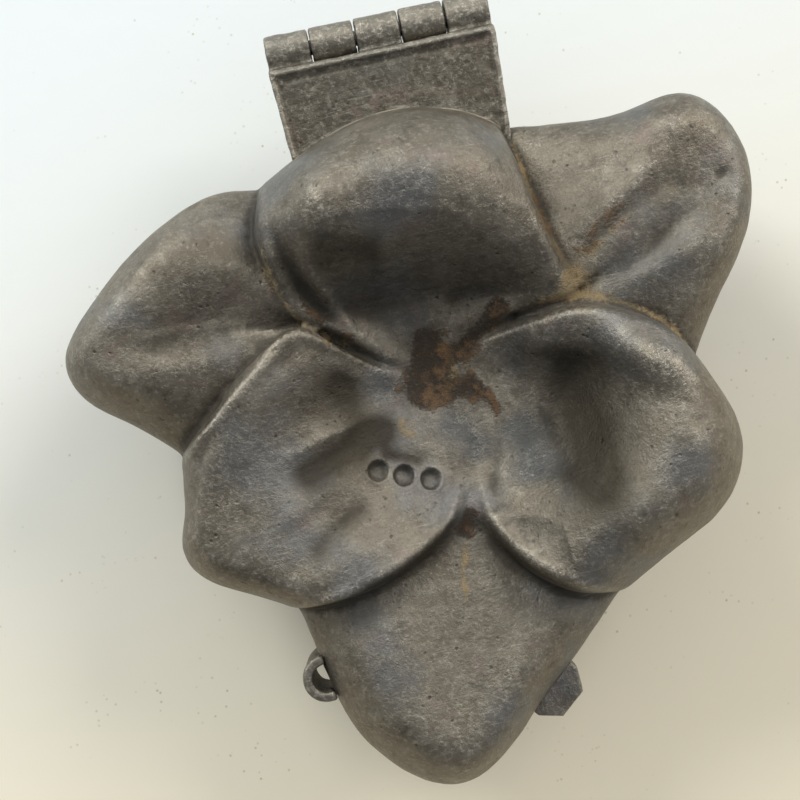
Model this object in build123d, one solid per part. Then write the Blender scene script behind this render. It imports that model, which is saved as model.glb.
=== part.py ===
from build123d import *
import os
from bisect import bisect_right
from dataclasses import dataclass
from math import cos, exp, pi, sin, sqrt
import numpy as np

os.makedirs("parts", exist_ok=True)

# A hinged mold in two halves, shaped as an open lily with three inner and three outer petals.
# It lies on the flat foot of its back half, with the flower's face up and the hinge towards +Y.
# The origin is the centre of the foot's flat face. All sizes are in millimetres.

# Both halves
parting_height = 22.0  # plane where the halves meet, over the foot's flat face
seam_gap = 0.1  # left between the faces of the closed halves
wall = 2.6  # thickness of the cast shells

# Throat of the flower, on the front half, and the foot, on the back half
throat_radius = 3.6
throat_height = 4.0  # outer face over the parting plane
throat_centre = Vector(-0.5, 0.3)
foot_radius = 16.0
foot_centre = Vector(0, 0)

# Hinge
hinge_width = 33.0  # along X, over all the knuckles
hinge_axis_y = 50.6
knuckle_count = 5  # both leaves together, the front leaf holds the outermost
knuckle_radius = 2.7
knuckle_gap = 0.35  # between one knuckle and the next
swing_clearance = 0.3  # between a leaf and the other leaf's knuckles
neck_height = 1.9  # of the neck from a knuckle to its leaf, over the parting plane
neck_lap = 1.0  # how far the neck runs into the leaf
pin_radius = 1.1
pin_clearance = 0.08  # radial, in the knuckles
pin_chamfer = 0.25
leaf_thickness = 2.7
leaf_root_width = 30.8  # where the leaf is soldered to the petal
leaf_root_y = 30.0  # inside the shell, where the leaf is trimmed

# Closing tabs, one on each half, on the edge of the bottom petal
tab_place = 0.77  # share of the way along that edge
tab_root_width = 8.8
tab_tip_width = 4.6
tab_shoulder = 0.9  # straight stretch before the tab tapers
tab_reach = 3.7
tab_thickness = 2.4

# Guide ear, a bent strip on the back half that stands beside the front half's edge
ear_place = 0.145  # share of the way along the bottom petal's edge
ear_width = 6.4
ear_reach = 3.2
ear_strip = 1.0
ear_over = 3.4  # over the parting plane
ear_under = 7.0
ear_clearance = 0.5  # from the front half's edge

# How finely the skins are worked out, and how far solids run past what they cut
outer_steps = 12  # across one petal
cavity_steps = 8
flat_steps = 12  # from the middle of the flower to where the rims start
rim_steps = 6
fill_steps = 4  # from one point of the outer skin to the next, where the wall is measured
rim_share = 0.7  # share of the way out where the rims start
least_drop = 5.0  # keeps the cavity's rings near the edge in order, one over the next
cutter_spare = 1.0
solder_depth = 4.0  # a soldered piece starts this deep in its shell, and is trimmed to it


def along(stations, values, t):
    """Value at t on a smooth curve through values, numbers or points, at stations."""
    last = len(stations) - 1
    i = min(max(bisect_right(stations, t) - 1, 0), last - 1)
    span = stations[i + 1] - stations[i]
    s = (t - stations[i]) / span

    def slope(k):
        low, high = max(k - 1, 0), min(k + 1, last)
        return (values[high] - values[low]) / (stations[high] - stations[low])

    bend = slope(i) * (span * (s**3 - 2 * s**2 + s)) + slope(i + 1) * (span * (s**3 - s**2))
    return values[i] * (2 * s**3 - 3 * s**2 + 1) + values[i + 1] * (3 * s**2 - 2 * s**3) + bend


def ease(x):
    """From 0 to 1 with level ends."""
    x = min(max(x, 0), 1)
    return x * x * (3 - 2 * x)


def quarter_round(x):
    """From 0, rising steeply, to 1, level."""
    x = min(max(x, 0), 1)
    return sqrt(1 - (1 - x) ** 2)


# Creases between the petals, each with heights at these shares of the way
crease_stations = (0.0, 0.16, 0.30, 0.42, 0.60, 0.80, 1.0)
high_crease = (4.6, 6.8, 9.1, 9.4)
low_crease = (4.4, 4.9, 5.8, 7.4)  # beside the bottom petal, level with the floors
notch_rise = 2.0  # from the notch to the station before it


@dataclass(frozen=True)
class Crease:
    """Line where two petals meet, from the throat to a notch in the outline."""

    throat_angle: float
    points: tuple
    notch_height: float
    inner_heights: tuple = high_crease  # from the throat's edge to the station before the last two

    def place(self, v):
        start = throat_centre + Vector(throat_radius, 0).rotate(Axis.Z, self.throat_angle)
        return along(crease_stations, [start] + [Vector(*p) for p in self.points], v)

    def height(self, v):
        outermost = (self.notch_height + notch_rise, self.notch_height)
        return along(crease_stations, (throat_height,) + self.inner_heights + outermost, v)

    def notch(self):
        return Vector(*self.points[-1])


@dataclass(frozen=True)
class Petal:
    """One petal between two creases, named anticlockwise, with its edge from notch to notch."""

    first: Crease
    second: Crease
    edge_points: tuple
    rim_start: float  # share of the way out where the face turns down to the edge
    stations: tuple

    def edge(self, u):
        points = [self.first.notch()] + [Vector(*p) for p in self.edge_points] + [self.second.notch()]
        lengths = [0]
        for start, end in zip(points, points[1:]):
            lengths.append(lengths[-1] + (end - start).length)
        return along([length / lengths[-1] for length in lengths], points, u)

    def edge_plane(self, u, step=0.01):
        """At the edge, with X along it, Y into the flower and Z up from the parting plane."""
        tangent = self.edge(u + step) - self.edge(u - step)
        origin = self.edge(u) + Vector(0, 0, parting_height)
        return Plane(origin=origin, x_dir=tangent, z_dir=(0, 0, 1))


# Ramps of the inner petals' sides. They are narrow near the throat and widen outwards.
inner_ramp = 0.3  # share of their width near the throat
ramp_grows = 0.35
ramp_grown = 0.75
hollow_edge = 0.7  # share of the ramp where the hollow starts


@dataclass(frozen=True)
class InnerPetal(Petal):
    """Petal that overlaps its neighbours: round sides, a raised rim and a hollow between them."""

    first_side: tuple  # height along the crest of its first side
    second_side: tuple
    middle: tuple  # height along its middle
    first_ramp: float = 0.12  # share of its width where the side rises from the crease, at the rim
    second_ramp: float = 0.12
    first_floor: float = 0.40  # share of its width where the hollow's floor starts
    second_floor: float = 0.40

    def height(self, u, v, low):
        first = along(self.stations, self.first_side, v)
        second = along(self.stations, self.second_side, v)
        middle = along(self.stations, self.middle, v)
        side = first + (second - first) * ease(u)
        narrow = inner_ramp + (1 - inner_ramp) * ease((v - ramp_grows) / (ramp_grown - ramp_grows))
        ramp = 1
        hollow = 1
        for x, width, floor in (
            (u, self.first_ramp * narrow, self.first_floor),
            (1 - u, self.second_ramp * narrow, self.second_floor),
        ):
            start = hollow_edge * width
            ramp *= quarter_round(x / width)
            hollow *= ease((x - start) / (floor - start))
        return low + (side - low) * ramp + (middle - side) * hollow


@dataclass(frozen=True)
class OuterPetal(Petal):
    """Petal that comes out from under its neighbours: a swollen tongue, some with a groove."""

    swell: tuple
    fullness: float = 0.8  # smaller is squarer across
    groove_at: float = 0.5
    groove_width: float = 0.1
    groove_depth: float = 0.0

    def height(self, u, v, low):
        across = (4 * u * (1 - u)) ** self.fullness
        groove = exp(-(((u - self.groove_at) / self.groove_width) ** 2))
        appear = ease((v - self.stations[2]) / (self.stations[4] - self.stations[2]))
        fade = 1 - ease((v - self.rim_start) / (1 - self.rim_start))
        return low + along(self.stations, self.swell, v) * across - self.groove_depth * groove * appear * fade


right_above = Crease(
    50, ((7.4, 4.6), (12.9, 5.5), (19.0, 6.0), (25.0, 4.0), (30.2, 0.6), (35.0, -5.0)), 6.0
)
top_right = Crease(
    60, ((6.8, 5.8), (12.3, 6.8), (18.3, 7.4), (17.4, 15.5), (16.0, 23.5), (14.5, 33.6)), 3.0
)
top_left = Crease(
    172, ((-9.6, 4.6), (-14.2, 8.4), (-19.2, 12.0), (-21.8, 17.5), (-23.0, 24.2), (-21.5, 32.0)), 5.0
)
left_above = Crease(
    182, ((-10.3, 3.6), (-15.0, 7.4), (-20.0, 11.0), (-26.2, 7.4), (-33.0, 2.2), (-40.2, -3.5)), 6.0
)
left_below = Crease(
    240,
    ((-1.0, -8.0), (-0.6, -14.0), (-2.2, -19.2), (-8.0, -23.8), (-17.5, -27.2), (-28.4, -28.3)),
    5.5,
    low_crease,
)
right_below = Crease(
    250,
    ((0.3, -8.2), (0.4, -14.2), (-0.8, -19.2), (2.6, -26.6), (9.0, -32.6), (17.5, -35.6)),
    5.5,
    low_crease,
)

inner_stations = (0.0, 0.16, 0.30, 0.40, 0.50, 0.58, 0.72, 1.0)
outer_stations = (0.0, 0.30, 0.42, 0.50, 0.60, 0.72, 0.85, 1.0)

upper_right_petal = OuterPetal(
    right_above,
    top_right,
    ((39.2, 1.7), (45.0, 9.8), (48.2, 20.3), (45.6, 29.1), (40.9, 32.8), (34.8, 32.0), (23.7, 32.3)),
    0.84,
    outer_stations,
    swell=(0, 0, 0, 0.6, 2.0, 4.0, 5.4, 5.6),
    groove_at=0.45,
    groove_width=0.11,
    groove_depth=2.6,
)
top_petal = InnerPetal(
    top_right,
    top_left,
    ((9.0, 36.8), (0.0, 38.8), (-8.0, 37.7), (-15.5, 34.8)),
    0.76,
    inner_stations,
    first_side=(4.0, 5.4, 7.6, 9.8, 12.4, 14.8, 17.4, 17.0),
    second_side=(4.0, 5.4, 7.8, 10.0, 11.4, 14.0, 17.2, 17.0),
    middle=(4.0, 4.5, 5.0, 6.4, 12.5, 17.0, 19.8, 19.2),
    first_ramp=0.20,
    second_ramp=0.20,
    first_floor=0.34,
    second_floor=0.24,
)
upper_left_petal = OuterPetal(
    top_left,
    left_above,
    ((-28.4, 32.6), (-37.3, 29.1), (-46.2, 22.5), (-53.0, 15.0), (-54.3, 11.0), (-52.4, 7.4), (-44.8, 1.0)),
    0.80,
    outer_stations,
    swell=(0, 0, 0, 0.5, 1.9, 4.0, 5.4, 5.6),
    groove_at=0.60,
    groove_width=0.04,
    groove_depth=0.7,
)
lower_left_petal = InnerPetal(
    left_above,
    left_below,
    ((-41.3, -11.0), (-42.9, -17.0), (-40.6, -21.3), (-34.0, -25.1)),
    0.86,
    inner_stations,
    first_side=(4.0, 5.6, 8.0, 10.2, 11.8, 12.6, 13.2, 12.6),
    second_side=(4.0, 4.8, 5.8, 7.2, 9.2, 10.6, 12.4, 12.6),
    middle=(4.0, 4.8, 6.0, 7.2, 8.6, 9.6, 11.4, 12.6),
    first_ramp=0.06,
    second_ramp=0.07,
    first_floor=0.35,
    second_floor=0.35,
)
bottom_petal = OuterPetal(
    left_below,
    right_below,
    (
        (-27.1, -34.9),
        (-24.5, -45.9),
        (-18.8, -53.9),
        (-12.4, -57.6),
        (-5.5, -56.4),
        (0.5, -50.8),
        (9.0, -43.6),
        (14.1, -39.0),
    ),
    0.76,
    (0.0, 0.16, 0.30, 0.42, 0.60, 0.72, 0.85, 1.0),
    swell=(0, 0.3, 1.9, 2.6, 2.6, 3.4, 4.8, 5.4),
)
right_petal = InnerPetal(
    right_below,
    right_above,
    ((27.2, -30.4), (34.5, -26.2), (38.3, -20.0), (38.4, -14.0), (36.7, -9.5)),
    0.74,
    inner_stations,
    first_side=(4.0, 4.8, 5.8, 7.6, 10.0, 12.0, 15.6, 16.6),
    second_side=(4.0, 6.4, 9.6, 12.2, 14.6, 16.2, 18.0, 17.0),
    middle=(4.0, 4.4, 5.0, 5.8, 10.4, 14.8, 19.4, 20.0),
    first_ramp=0.08,
    second_ramp=0.18,
)
petals = (
    upper_right_petal,
    top_petal,
    upper_left_petal,
    lower_left_petal,
    bottom_petal,
    right_petal,
)

# Relief of the back: how far the creases and the backs of the petals rise from the foot's face
back_stations = (0.0, 0.08, 0.25, 0.5, 0.8, 1.0)
back_crease_rise = (0.0, 3.2, 7.6, 10.6, 12.6, 13.6)
back_middle_rise = (0.0, 2.4, 4.6, 6.4, 8.6, 9.6)
back_fullness = 0.6
back_rim_start = 0.72


def patch(u, v, first, second, inside, outside):
    """Place in plan on a petal that its four border curves span."""
    across = first(v) * (1 - u) + second(v) * u
    outwards = inside(u) * (1 - v) + outside(u) * v
    corners = (first(0) * (1 - u) + second(0) * u) * (1 - v) + (first(1) * (1 - u) + second(1) * u) * v
    return across + outwards - corners


def arc_between(centre, start, end):
    """The border curve that runs anticlockwise about centre from start to end."""
    arm = start - centre
    sweep = arm.get_signed_angle(end - centre, Vector(0, 0, 1)) % 360
    return lambda u: centre + arm.rotate(Axis.Z, sweep * u)


def face_plan(petal, u, v):
    """Place in plan on the front half."""
    throat = arc_between(throat_centre, petal.first.place(0), petal.second.place(0))
    return patch(u, v, petal.first.place, petal.second.place, throat, petal.edge)


def face_depth(petal, u, v):
    """How far the front half's outer skin stands over the face where the halves meet."""
    low = petal.first.height(v) * (1 - u) + petal.second.height(v) * u
    turned = max(0, (v - petal.rim_start) / (1 - petal.rim_start))
    return petal.height(u, v, low) * sqrt(1 - turned**2)


def back_plan(petal, u, v):
    """Place in plan on the back half, whose creases run straight from the foot to the notches."""
    notches = (petal.first.notch(), petal.second.notch())
    starts = [foot_centre + notch.normalized() * foot_radius for notch in notches]
    first, second = (lambda t, a=start, b=notch: a * (1 - t) + b * t for start, notch in zip(starts, notches))
    return patch(u, v, first, second, arc_between(foot_centre, *starts), petal.edge)


def back_depth(petal, u, v):
    """How far the back half's outer skin hangs under the face where the halves meet."""
    crease_rise = along(back_stations, back_crease_rise, v)
    middle_rise = along(back_stations, back_middle_rise, v)
    rise = crease_rise + (middle_rise - crease_rise) * (4 * u * (1 - u)) ** back_fullness
    turned = max(0, (v - back_rim_start) / (1 - back_rim_start))
    return (parting_height - seam_gap / 2 - rise) * sqrt(1 - turned**2)


def out_stations():
    """Shares of the way out where rings are drawn, closer together towards the edge."""
    flat = [rim_share * i / flat_steps for i in range(flat_steps)]
    return flat + [rim_share + (1 - rim_share) * sin(pi / 2 * i / rim_steps) for i in range(rim_steps + 1)]


def rings(plan, depth, shares):
    """Rows of (x, y, depth), one row for each station, each closed round all the petals."""
    rows = []
    for v in out_stations():
        row = []
        for petal in petals:
            for u in shares[:-1]:
                spot = plan(petal, u, v)
                row.append((spot.X, spot.Y, depth(petal, u, v)))
        rows.append(row)
    return np.array(rows)


def skin_solid(rows, shares, up):
    """Solid whose skin runs smoothly through the rows, with an edge along each crease."""
    steps = len(shares) - 1
    wires = []
    for row in rows:
        points = [Vector(x, y, parting_height + up * (seam_gap / 2 + depth)) for x, y, depth in row]
        closed = points + points[:1]
        spans = [closed[k * steps : (k + 1) * steps + 1] for k in range(len(petals))]
        wires.append(Wire([Edge.make_spline(span, parameters=shares) for span in spans]))
    return Solid.make_loft(wires)


def filled(rows):
    """The rows with more points between them, both ways."""
    closed = np.concatenate([rows, rows[:, :1]], axis=1)
    parts = [k / fill_steps for k in range(fill_steps)]
    outwards = np.concatenate([closed[:-1] * (1 - t) + closed[1:] * t for t in parts] + [closed[-1:]])
    return np.concatenate([outwards[:, :-1] * (1 - t) + outwards[:, 1:] * t for t in parts], axis=1)


def cavity_rows(rows, skin, disc_shift):
    """The rows drawn in so that the skin is at least a wall away from each of them."""
    stations = np.array(out_stations())
    shares = stations[:, None, None] ** 3  # the places move in near the edge alone
    edge = rows[-1, :, :2]
    along_edge = np.roll(edge, -1, axis=0) - np.roll(edge, 1, axis=0)
    inwards = np.stack([-along_edge[:, 1], along_edge[:, 0]], axis=1)
    inwards /= np.linalg.norm(inwards, axis=1, keepdims=True)
    disc = rows[0, :, :2]
    to_middle = disc.mean(axis=0) - disc
    to_middle /= np.linalg.norm(to_middle, axis=1, keepdims=True)
    places = rows[:, :, :2] + wall * shares * inwards + disc_shift * (1 - shares) ** 3 * to_middle
    cloud = filled(skin).reshape(-1, 3)
    depths = []
    for row in places:
        gap = wall**2 - ((row[:, None, :] - cloud[None, :, :2]) ** 2).sum(axis=2)
        reach = np.sqrt(np.maximum(gap, 0))
        depths.append(np.where(gap > 0, cloud[None, :, 2] - reach, np.inf).min(axis=1))
    depths = np.array(depths)
    depths[0] = rows[0, 0, 2] - wall
    least = least_drop * np.sqrt(1 - stations[-rim_steps:, None])
    depths[-rim_steps:] = np.maximum(depths[-rim_steps:], least)
    depths[-1] = 0
    cavity = np.concatenate([places, depths[:, :, None]], axis=2)
    past_face = cavity[-1:] - np.array([0, 0, cutter_spare])
    return np.concatenate([cavity, past_face])


def half(plan, depth, up, disc_shift):
    """Shell, outer solid and trimmer of one half. Up is 1 on the front half and -1 on the back.

    The trimmer is the outer solid run past its face. It trims what is soldered to the shell.
    """
    outer_shares = [(1 - cos(pi * i / outer_steps)) / 2 for i in range(outer_steps + 1)]
    cavity_shares = [i / cavity_steps for i in range(cavity_steps + 1)]
    skin = rings(plan, depth, outer_shares)
    cavity = cavity_rows(rings(plan, depth, cavity_shares), skin, disc_shift)
    outer = skin_solid(skin, outer_shares, up)
    seam_face = outer.faces().filter_by(GeomType.PLANE).sort_by(SortBy.AREA)[-1]
    shell = outer - skin_solid(cavity, cavity_shares, up)
    return shell, outer, outer + extrude(seam_face, cutter_spare)


def to_back(piece):
    """A piece of the front half, mirrored to the back half."""
    return piece.mirror(Plane.XY.offset(parting_height))


def on_axis(radius, length, x):
    """Cylinder about the hinge's axis, centred at x."""
    return Pos(x, hinge_axis_y, parting_height) * Rot(0, 90, 0) * Cylinder(radius, length)


def hinge_leaf(own):
    """The leaf over the parting plane. Own is 0 for the outermost knuckles, 1 for those between."""
    pitch = hinge_width / knuckle_count
    places = [pitch * (k + 0.5) - hinge_width / 2 for k in range(knuckle_count)]
    leaf_end = hinge_axis_y - knuckle_radius
    corners = (
        (-hinge_width / 2, leaf_end),
        (-leaf_root_width / 2, leaf_root_y),
        (leaf_root_width / 2, leaf_root_y),
        (hinge_width / 2, leaf_end),
    )
    base = parting_height + seam_gap / 2
    leaf = extrude(Pos(0, 0, base) * make_face(Polyline(*corners, close=True)), leaf_thickness)
    for k, x in enumerate(places):
        if k % 2 != own:
            leaf -= on_axis(knuckle_radius + swing_clearance, pitch + knuckle_gap, x)
    for k, x in enumerate(places):
        if k % 2 == own:
            leaf += on_axis(knuckle_radius, pitch - knuckle_gap, x)
            neck = (pitch - knuckle_gap, knuckle_radius + neck_lap, neck_height)
            leaf += Pos(x, hinge_axis_y, base) * Box(*neck, align=(Align.CENTER, Align.MAX, Align.MIN))
    return leaf - on_axis(pin_radius + pin_clearance, hinge_width + 2 * cutter_spare, 0)


def closing_tab():
    """The tab over the parting plane, before it is trimmed to its shell."""
    corners = (
        (-tab_root_width / 2, solder_depth),
        (-tab_root_width / 2, -tab_shoulder),
        (-tab_tip_width / 2, -tab_reach),
        (tab_tip_width / 2, -tab_reach),
        (tab_root_width / 2, -tab_shoulder),
        (tab_root_width / 2, solder_depth),
    )
    outline = make_face(Polyline(*corners, close=True))
    return extrude(bottom_petal.edge_plane(tab_place) * Pos(0, 0, seam_gap / 2) * outline, tab_thickness)


def guide_ear():
    """The bent strip, before it is trimmed to the shells."""

    def loop(width, reach):
        leg = Rectangle(width, solder_depth, align=(Align.CENTER, Align.MIN))
        return Ellipse(width / 2, reach) + leg

    strip = loop(ear_width, ear_reach) - loop(ear_width - 2 * ear_strip, ear_reach - ear_strip)
    past_legs = Rectangle(ear_width, ear_reach + solder_depth, align=(Align.CENTER, Align.MIN))
    strip -= Pos(0, solder_depth) * past_legs
    foot = bottom_petal.edge_plane(ear_place) * Pos(0, 0, -ear_under)
    return extrude(foot * strip, ear_under + ear_over)


front_shell, front_outer, front_trimmer = half(face_plan, face_depth, 1, 0)
back_shell, _, back_trimmer = half(back_plan, back_depth, -1, wall)

ear_outwards = bottom_petal.edge_plane(ear_place).y_dir * -ear_clearance
front_swing_room = Pos(ear_outwards - Vector(0, 0, seam_gap)) * front_outer

pin = on_axis(pin_radius, hinge_width, 0)

pieces = {
    "front_shell": front_shell,
    "back_shell": back_shell,
    "front_hinge_leaf": hinge_leaf(0) - front_trimmer,
    "back_hinge_leaf": to_back(hinge_leaf(1)) - back_trimmer,
    "hinge_pin": chamfer(pin.edges().filter_by(GeomType.CIRCLE), pin_chamfer),
    "front_closing_tab": closing_tab() - front_trimmer,
    "back_closing_tab": to_back(closing_tab()) - back_trimmer,
    "back_guide_ear": guide_ear() - back_trimmer - front_swing_room,
}

for name, piece in pieces.items():
    solids = piece.solids()
    print(name, len(solids), "solid", round(sum(s.volume for s in solids)), "mm3")
    export_step(Compound(solids) if len(solids) > 1 else solids[0], f"parts/{name}.step")
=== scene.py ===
import logging
import math
from dataclasses import dataclass
from enum import Enum
from typing import Callable

import bpy
import numpy as np
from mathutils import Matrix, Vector


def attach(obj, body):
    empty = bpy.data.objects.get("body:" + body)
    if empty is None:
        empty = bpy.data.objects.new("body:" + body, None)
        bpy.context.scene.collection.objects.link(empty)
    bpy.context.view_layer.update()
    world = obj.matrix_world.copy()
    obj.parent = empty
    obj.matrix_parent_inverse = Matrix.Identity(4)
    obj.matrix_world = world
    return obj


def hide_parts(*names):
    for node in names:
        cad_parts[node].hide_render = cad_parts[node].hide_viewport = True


# A hinged lily-shaped chocolate mold of cast pewter, closed, on a pale table.
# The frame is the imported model's. The mold's sizes are in millimetres, meshes and the studio in metres.

LOG = logging.getLogger("mold")
MM = 0.001
SEAM_HEIGHT = 22.0
SEAM_GAP = 0.1
WELD_DISTANCE = 0.002
SHARP_ANGLE = 50.0
RELIEF_LIMIT = 1.5

Point = tuple[float, float]
Place = tuple[float, float, float]
Colour = tuple[float, float, float, float]
Socket = bpy.types.NodeSocket

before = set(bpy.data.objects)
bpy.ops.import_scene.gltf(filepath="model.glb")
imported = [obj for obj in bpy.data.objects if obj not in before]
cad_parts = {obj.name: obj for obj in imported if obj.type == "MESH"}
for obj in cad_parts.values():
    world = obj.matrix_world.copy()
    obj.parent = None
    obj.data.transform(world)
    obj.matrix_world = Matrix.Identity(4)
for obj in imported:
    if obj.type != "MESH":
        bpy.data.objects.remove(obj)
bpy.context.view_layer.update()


def srgb(red: int, green: int, blue: int) -> Colour:
    """A colour as shaders want it.

    Args:
        red: Red from 0 to 255, as a screen shows it.
        green: Green from 0 to 255.
        blue: Blue from 0 to 255.

    Returns:
        The same colour in linear values, with alpha.
    """

    def linear(value: int) -> float:
        """One channel in linear light."""
        share = value / 255
        return share / 12.92 if share <= 0.04045 else ((share + 0.055) / 1.055) ** 2.4

    return linear(red), linear(green), linear(blue), 1.0


# Mesh tools


def make_active(piece: bpy.types.Object) -> None:
    """Selects one piece alone and makes it the active one."""
    bpy.ops.object.select_all(action="DESELECT")
    piece.select_set(True)
    bpy.context.view_layer.objects.active = piece


def edit(piece: bpy.types.Object, step: Callable, **settings: object) -> None:
    """Runs one mesh operator on what is selected in a piece.

    Args:
        piece: The piece whose mesh is edited.
        step: The operator.
        settings: Its settings by name.
    """
    make_active(piece)
    bpy.ops.object.mode_set(mode="EDIT")
    step(**settings)
    bpy.ops.object.mode_set(mode="OBJECT")


def select_faces(piece: bpy.types.Object, chosen: np.ndarray) -> None:
    """Selects a piece's chosen faces and no others."""
    edit(piece, bpy.ops.mesh.select_all, action="DESELECT")
    piece.data.polygons.foreach_set("select", chosen)


def finish_modifier(piece: bpy.types.Object, kind: str, **settings: object) -> None:
    """Adds a modifier to a piece and applies it.

    Args:
        piece: The piece that is shaped.
        kind: The modifier's type.
        settings: Its settings by name.
    """
    make_active(piece)
    modifier = piece.modifiers.new(kind.lower(), kind)
    for name, value in settings.items():
        setattr(modifier, name, value)
    bpy.ops.object.modifier_apply(modifier=modifier.name)


def copy_of(node: str, name: str, grid: float) -> bpy.types.Object:
    """A copy of a CAD node with an even mesh, to be worked into a finished piece.

    Args:
        node: The CAD node's name.
        name: The new piece's name.
        grid: The size of the new mesh's faces.

    Returns:
        The new piece.
    """
    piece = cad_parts[node].copy()
    piece.data = piece.data.copy()
    piece.name = name
    piece.data.name = name
    piece.data.materials.clear()
    bpy.context.collection.objects.link(piece)
    edit(piece, bpy.ops.mesh.select_all, action="SELECT")
    edit(piece, bpy.ops.mesh.remove_doubles, threshold=WELD_DISTANCE * MM)
    finish_modifier(piece, "REMESH", mode="VOXEL", voxel_size=grid * MM, adaptivity=0.0)
    return piece


def smooth_by_angle(piece: bpy.types.Object, degrees: float = SHARP_ANGLE) -> None:
    """Shades a piece smooth, with its edges over the angle left sharp."""
    make_active(piece)
    bpy.ops.object.shade_smooth_by_angle(angle=math.radians(degrees))


def places(mesh: bpy.types.Mesh) -> np.ndarray:
    """The places of a mesh's vertices in millimetres, one row each."""
    flat = np.empty(len(mesh.vertices) * 3)
    mesh.vertices.foreach_get("co", flat)
    return flat.reshape(-1, 3) / MM


def set_places(mesh: bpy.types.Mesh, spots: np.ndarray) -> None:
    """Moves a mesh's vertices to places in millimetres."""
    mesh.vertices.foreach_set("co", (spots * MM).ravel())
    mesh.update()


def normals(mesh: bpy.types.Mesh) -> np.ndarray:
    """The normals at a mesh's vertices, one row each."""
    flat = np.empty(len(mesh.vertices) * 3)
    mesh.vertex_normals.foreach_get("vector", flat)
    return flat.reshape(-1, 3)


def of_faces(mesh: bpy.types.Mesh, what: str) -> np.ndarray:
    """The center or the normal of each of a mesh's faces, one row each."""
    flat = np.empty(len(mesh.polygons) * 3)
    mesh.polygons.foreach_get(what, flat)
    return flat.reshape(-1, 3)


def relaxed(mesh: bpy.types.Mesh, spots: np.ndarray, rounds: int) -> np.ndarray:
    """The vertices' places after each has moved to the mean of its neighbours some times.

    Args:
        mesh: The mesh whose edges say which vertices are neighbours.
        spots: The places to start from.
        rounds: How often the places are averaged.

    Returns:
        The averaged places.
    """
    pairs = np.empty(len(mesh.edges) * 2, dtype=np.int64)
    mesh.edges.foreach_get("vertices", pairs)
    first, second = pairs.reshape(-1, 2).T
    ends = np.concatenate([first, second])
    others = np.concatenate([second, first])
    count = np.maximum(np.bincount(ends, minlength=len(spots)), 1)
    out = spots.copy()
    for _ in range(rounds):
        sums = [np.bincount(ends, weights=out[others, axis], minlength=len(spots)) for axis in range(3)]
        out = 0.5 * out + 0.5 * np.stack(sums, axis=1) / count[:, None]
    return out


def bulge(mesh: bpy.types.Mesh, spots: np.ndarray, rounds: int) -> np.ndarray:
    """How far each vertex stands out of the relaxed skin, in millimetres."""
    return ((spots - relaxed(mesh, spots, rounds)) * normals(mesh)).sum(axis=1)


def ease(low: float, high: float, values: np.ndarray) -> np.ndarray:
    """From 0 at low to 1 at high, with level ends."""
    share = np.clip((values - low) / (high - low), 0, 1)
    return share * share * (3 - 2 * share)


def lift_along_normals(mesh: bpy.types.Mesh, lift: np.ndarray) -> None:
    """Moves each vertex outwards by its own number of millimetres."""
    set_places(mesh, places(mesh) + normals(mesh) * lift[:, None])


def press_waves(piece: bpy.types.Object, size: float, depth: float, detail: int, **settings: object) -> None:
    """Gives a skin the slight unevenness of hand-finished metal.

    Args:
        piece: The piece that is shaped.
        size: How long the waves are.
        depth: How deep the waves are.
        detail: How many smaller waves lie on them.
        settings: More of the modifier's settings by name.
    """
    texture = bpy.data.textures.new(f"{piece.name}_waves", "CLOUDS")
    texture.noise_scale = size * MM
    texture.noise_depth = detail
    shape = {"texture": texture, "texture_coords": "LOCAL", "strength": depth * MM, "mid_level": 0.5}
    finish_modifier(piece, "DISPLACE", **shape, **settings)


# Sculpting


class Profile(Enum):
    """How a stroke's height falls off to its sides."""

    SOFT = "a round ridge or groove"
    CRISP = "a narrow edge between slopes"

    def across(self, away: np.ndarray) -> np.ndarray:
        """The share of the height that is left at a distance, given in the stroke's own widths."""
        if self is Profile.SOFT:
            return np.exp(-(away**2))
        return np.exp(-away) * ease(0, 1, 4 - away)


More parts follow.
